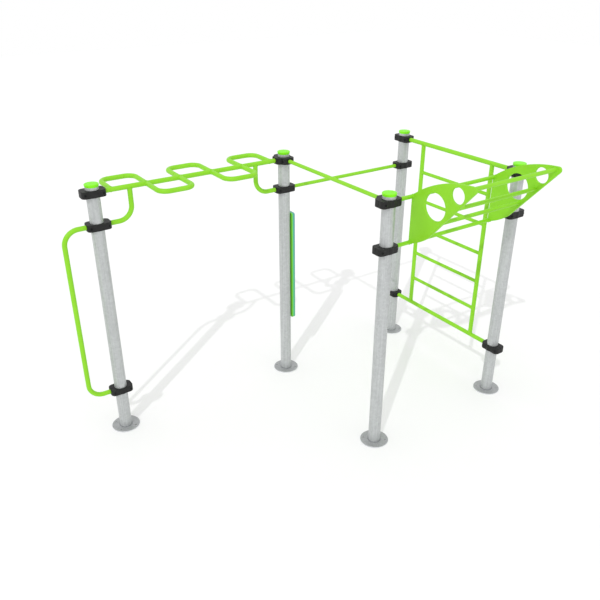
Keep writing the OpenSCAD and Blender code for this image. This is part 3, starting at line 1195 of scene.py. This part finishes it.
@dataclass
class Net(Assembly):
    """The net of rungs between its two fins, hung on two bars.

    Args:
        edge_round: Rounding of the fins' edges.
        notch_clear: Distance from a bar's axis inside which an edge stays crisp.
        grip: How far round a bar a fin reaches, in degrees.
    """

    edge_round: float = 2.5 * MM
    notch_clear: float = 21.0 * MM
    grip: float = 214.0

    @property
    def bars(self) -> list[Vector]:
        """A point on the axis of the lower bar and one on the upper bar's."""
        return [middle_of("net_bottom_bar"), middle_of("net_top_bar")]

    def fin(self, node: str) -> None:
        """Makes a fin: the CAD plate with its edges rounded over.

        Args:
            node: The fin's CAD node.
        """
        low, high = box_of(node)
        bm = cad_copy(node)

        def on_face(vert: bmesh.types.BMVert) -> bool:
            """Says whether a corner is on a face of the plate, clear of the bars."""
            flat = min(abs(vert.co.x - low.x), abs(vert.co.x - high.x)) < ON_PLANE
            gaps = [math.hypot(vert.co.y - b.y, vert.co.z - b.z) for b in self.bars]
            return flat and min(gaps) > self.notch_clear

        rims = [e for e in bm.edges if sharp(e) and all(map(on_face, e.verts))]
        round_edges(bm, rims, self.edge_round)
        self.shop.hand_over(f"{node}_plate", bm, Finish.LIME, stands_for=[node])

    def welds(self) -> None:
        """Lays beads where the fins meet the bars, on both faces of each fin."""
        bar_r = half_of("net_bottom_bar").z
        for name in ("fin_near", "fin_far"):
            plate_low, plate_high = box_of(name)
            bm = bmesh.new()
            for x, out in ((plate_low.x, -ALONG_X), (plate_high.x, ALONG_X)):
                for bar in self.bars:
                    bead = WeldBead(bar_r, sweep=math.radians(self.grip)).build()
                    put_in(bm, bead, axes(Vector((x, bar.y, bar.z)), out, -ALONG_Y))
            self.shop.hand_over(f"{name}_welds", bm, Finish.LIME)

    def rung_welds(self) -> None:
        """Lays a bead at both ends of each of the net's rungs."""
        bm = bmesh.new()
        low, high = box_of("net_rungs")
        for middle, radius in self.rung_middles():
            for x, inward in ((low.x, ALONG_X), (high.x, -ALONG_X)):
                bead = WeldBead(radius).build()
                put_in(bm, bead, axes(Vector((x, middle.y, middle.z)), inward, ALONG_Y))
        self.shop.hand_over("net_rung_welds", bm, Finish.LIME)

    def rung_middles(self) -> list[tuple[Vector, float]]:
        """Finds each rung's axis and radius from the CAD rungs, which are separate tubes.

        Returns:
            The middle and the radius of each rung, from the lowest up.
        """
        bm = cad_copy("net_rungs")
        found = []
        left = set(bm.verts)
        while left:
            reached, waiting = set(), [left.pop()]
            while waiting:
                vert = waiting.pop()
                reached.add(vert)
                near = {link.other_vert(vert) for link in vert.link_edges} & left
                left -= near
                waiting.extend(near)
            ys, zs = [v.co.y for v in reached], [v.co.z for v in reached]
            middle = Vector((0.0, (min(ys) + max(ys)) / 2, (min(zs) + max(zs)) / 2))
            found.append((middle, (max(zs) - min(zs)) / 2))
        bm.free()
        return sorted(found, key=lambda rung: rung[0].z)

    def build(self) -> None:
        """Builds and dresses the net."""
        for node in ("net_top_bar", "net_bottom_bar", "net_rungs"):
            self.shop.coat_node(node, Finish.LIME)
        for node in ("fin_near", "fin_far"):
            self.fin(node)
        self.welds()
        self.rung_welds()


@dataclass
class SignBoard(Assembly):
    """The tall three-layer board screwed to post B.

    Args:
        back_layer: Thickness of the green layer on the post's side.
        core_layer: Thickness of the light green core.
        edge_round: Rounding of the board's edges.
        screw_inset: Board's end to its screw.
        hole_zone: Half the width of the strip that the screw holes lie in.
        hole_edge: Length below which an edge in that strip belongs to a hole.
    """

    back_layer: float = 7.0 * MM
    core_layer: float = 10.0 * MM
    edge_round: float = 3.0 * MM
    screw_inset: float = 160.0 * MM
    hole_zone: float = 12.0 * MM
    hole_edge: float = 9.0 * MM

    def board(self) -> None:
        """Makes the board, cut into its three layers of colour."""
        (low, high), middle = box_of("sign_board"), middle_of("sign_board")
        seams = (low.x + self.back_layer, low.x + self.back_layer + self.core_layer)
        bm = cad_copy("sign_board")

        def on_face(vert: bmesh.types.BMVert) -> bool:
            """Says whether a corner lies on the board's front or back."""
            return min(abs(vert.co.x - low.x), abs(vert.co.x - high.x)) < ON_PLANE

        def in_hole(edge: bmesh.types.BMEdge) -> bool:
            """Says whether an edge belongs to a screw hole."""
            inside = all(abs(v.co.y - middle.y) < self.hole_zone for v in edge.verts)
            return inside and edge.calc_length() < self.hole_edge

        rims = [e for e in bm.edges if sharp(e) and all(map(on_face, e.verts)) and not in_hole(e)]
        round_edges(bm, rims, self.edge_round)
        for seam in seams:
            bmesh.ops.bisect_plane(
                bm,
                geom=[*bm.verts, *bm.edges, *bm.faces],
                dist=0.001 * MM,
                plane_co=(seam, 0.0, 0.0),
                plane_no=ALONG_X,
            )
        for face in bm.faces:
            face.material_index = sum(face.calc_center_median().x > seam for seam in seams)
        layers = (Finish.SIGN_BACK, Finish.SIGN_CORE, Finish.SIGN_FACE)
        self.shop.hand_over("sign_board_layered", bm, *layers, stands_for=["sign_board"])

    def screws(self) -> None:
        """Makes the two screws on the board's face."""
        low, high = box_of("sign_board")
        tail = box_of("sign_screws")[0].x
        bm = bmesh.new()
        for z in (low.z + self.screw_inset, high.z - self.screw_inset):
            screw = SocketBolt(
                shank=high.x - tail,
                shank_r=4.0 * MM,
                head_r=8.0 * MM,
                head_h=4.0 * MM,
                key_flat=2.5 * MM,
            ).build()
            spot = Vector((high.x, middle_of("sign_board").y, z))
            put_in(bm, screw, axes(spot, ALONG_X, ALONG_Y))
        self.shop.hand_over("sign_screws_socketed", bm, Finish.BOLT, stands_for=["sign_screws"])

    def build(self) -> None:
        """Builds and dresses the sign board."""
        self.board()
        self.screws()


# ---------------------------------------------------------------------------------------------
# Studio
# ---------------------------------------------------------------------------------------------


@dataclass
class Studio:
    """The pale floor, the soft light and the camera.

    Args:
        floor_size: Width of the floor in metres.
        sun_strength: Strength of the key light.
        sun_angle: Softness of the key light in degrees.
        sun_towards: The direction in which the key light shines.
        fill: Strength of the white light from all round.
        camera_offset: The camera's place from the foot of post A in metres.
        camera_tilt: The camera's turn from looking straight down, in degrees.
        camera_turn: The camera's turn about the vertical, in degrees.
        lens_mm: The lens's focal length on a 36 mm wide sensor.
    """

    floor_size: float = 60.0
    sun_strength: float = 0.8
    sun_angle: float = 0.7
    sun_towards: tuple[float, float, float] = (0.895, 0.68, -1.0)
    fill: float = 1.0
    camera_offset: tuple[float, float, float] = (-1.494, -5.194, 3.948)
    camera_tilt: float = 63.03
    camera_turn: float = -33.96
    lens_mm: float = 39.97

    def floor(self) -> None:
        """Lays the floor."""
        bm = bmesh.new()
        bmesh.ops.create_grid(bm, x_segments=2, y_segments=2, size=self.floor_size / 2)
        mesh = bpy.data.meshes.new("studio_floor")
        bm.to_mesh(mesh)
        bm.free()
        mesh.materials.append(PaintedFloor("painted_floor", "#f4f4f4", "#f2f2f2").build())
        floor = bpy.data.objects.new("studio_floor", mesh)
        bpy.context.scene.collection.objects.link(floor)

    def light(self) -> None:
        """Sets the key light and the white surround."""
        key = bpy.data.lights.new("key_light", "SUN")
        key.energy = self.sun_strength
        key.angle = math.radians(self.sun_angle)
        lamp = bpy.data.objects.new("key_light", key)
        lamp.rotation_mode = "QUATERNION"
        lamp.rotation_quaternion = Vector(self.sun_towards).to_track_quat("-Z", "Y")
        lamp.location = (-4.0, -3.0, 5.0)
        bpy.context.scene.collection.objects.link(lamp)
        world = bpy.data.worlds.new("white_surround")
        world.use_nodes = True
        world.node_tree.nodes.clear()
        sky = add_node(
            world.node_tree,
            "ShaderNodeBackground",
            {"Color": linear("#ffffff"), "Strength": self.fill},
        )
        add_node(world.node_tree, "ShaderNodeOutputWorld", {"Surface": sky.outputs[0]})
        bpy.context.scene.world = world
        bpy.context.scene.view_settings.view_transform = "Standard"

    def camera(self) -> None:
        """Sets the camera up at its place from post A."""
        lens = bpy.data.cameras.new("camera")
        lens.sensor_width = 36.0
        lens.lens = self.lens_mm
        lens.clip_end = 200.0
        eye = bpy.data.objects.new("camera", lens)
        post = middle_of("post_a")
        eye.location = Vector((post.x, post.y, 0.0)) + Vector(self.camera_offset)
        eye.rotation_euler = (math.radians(self.camera_tilt), 0.0, math.radians(self.camera_turn))
        bpy.context.scene.collection.objects.link(eye)
        bpy.context.scene.camera = eye

    def build(self) -> None:
        """Builds the studio."""
        self.floor()
        self.light()
        self.camera()


CLAMP_NAMES = ("a1", "a2", "a3", "b1", "b2", "c1", "c2", "d1", "d2", "d3", "e1", "e2", "e3")


def main() -> None:
    """Builds the studio and every sub-assembly in order."""
    logging.basicConfig(level=logging.INFO, format="%(name)s: %(message)s")
    Studio().build()
    shop = Paintshop()
    for letter in "abcde":
        Post(shop, letter).build()
    for name in CLAMP_NAMES:
        Clamp(shop, name).build()
    WaveBars(shop).build()
    for node in ("side_pole", "bar_bc", "bar_bd"):
        shop.coat_node(node, Finish.LIME)
    Ladder(shop).build()
    Net(shop).build()
    SignBoard(shop).build()


if __name__ == "__main__":
    main()
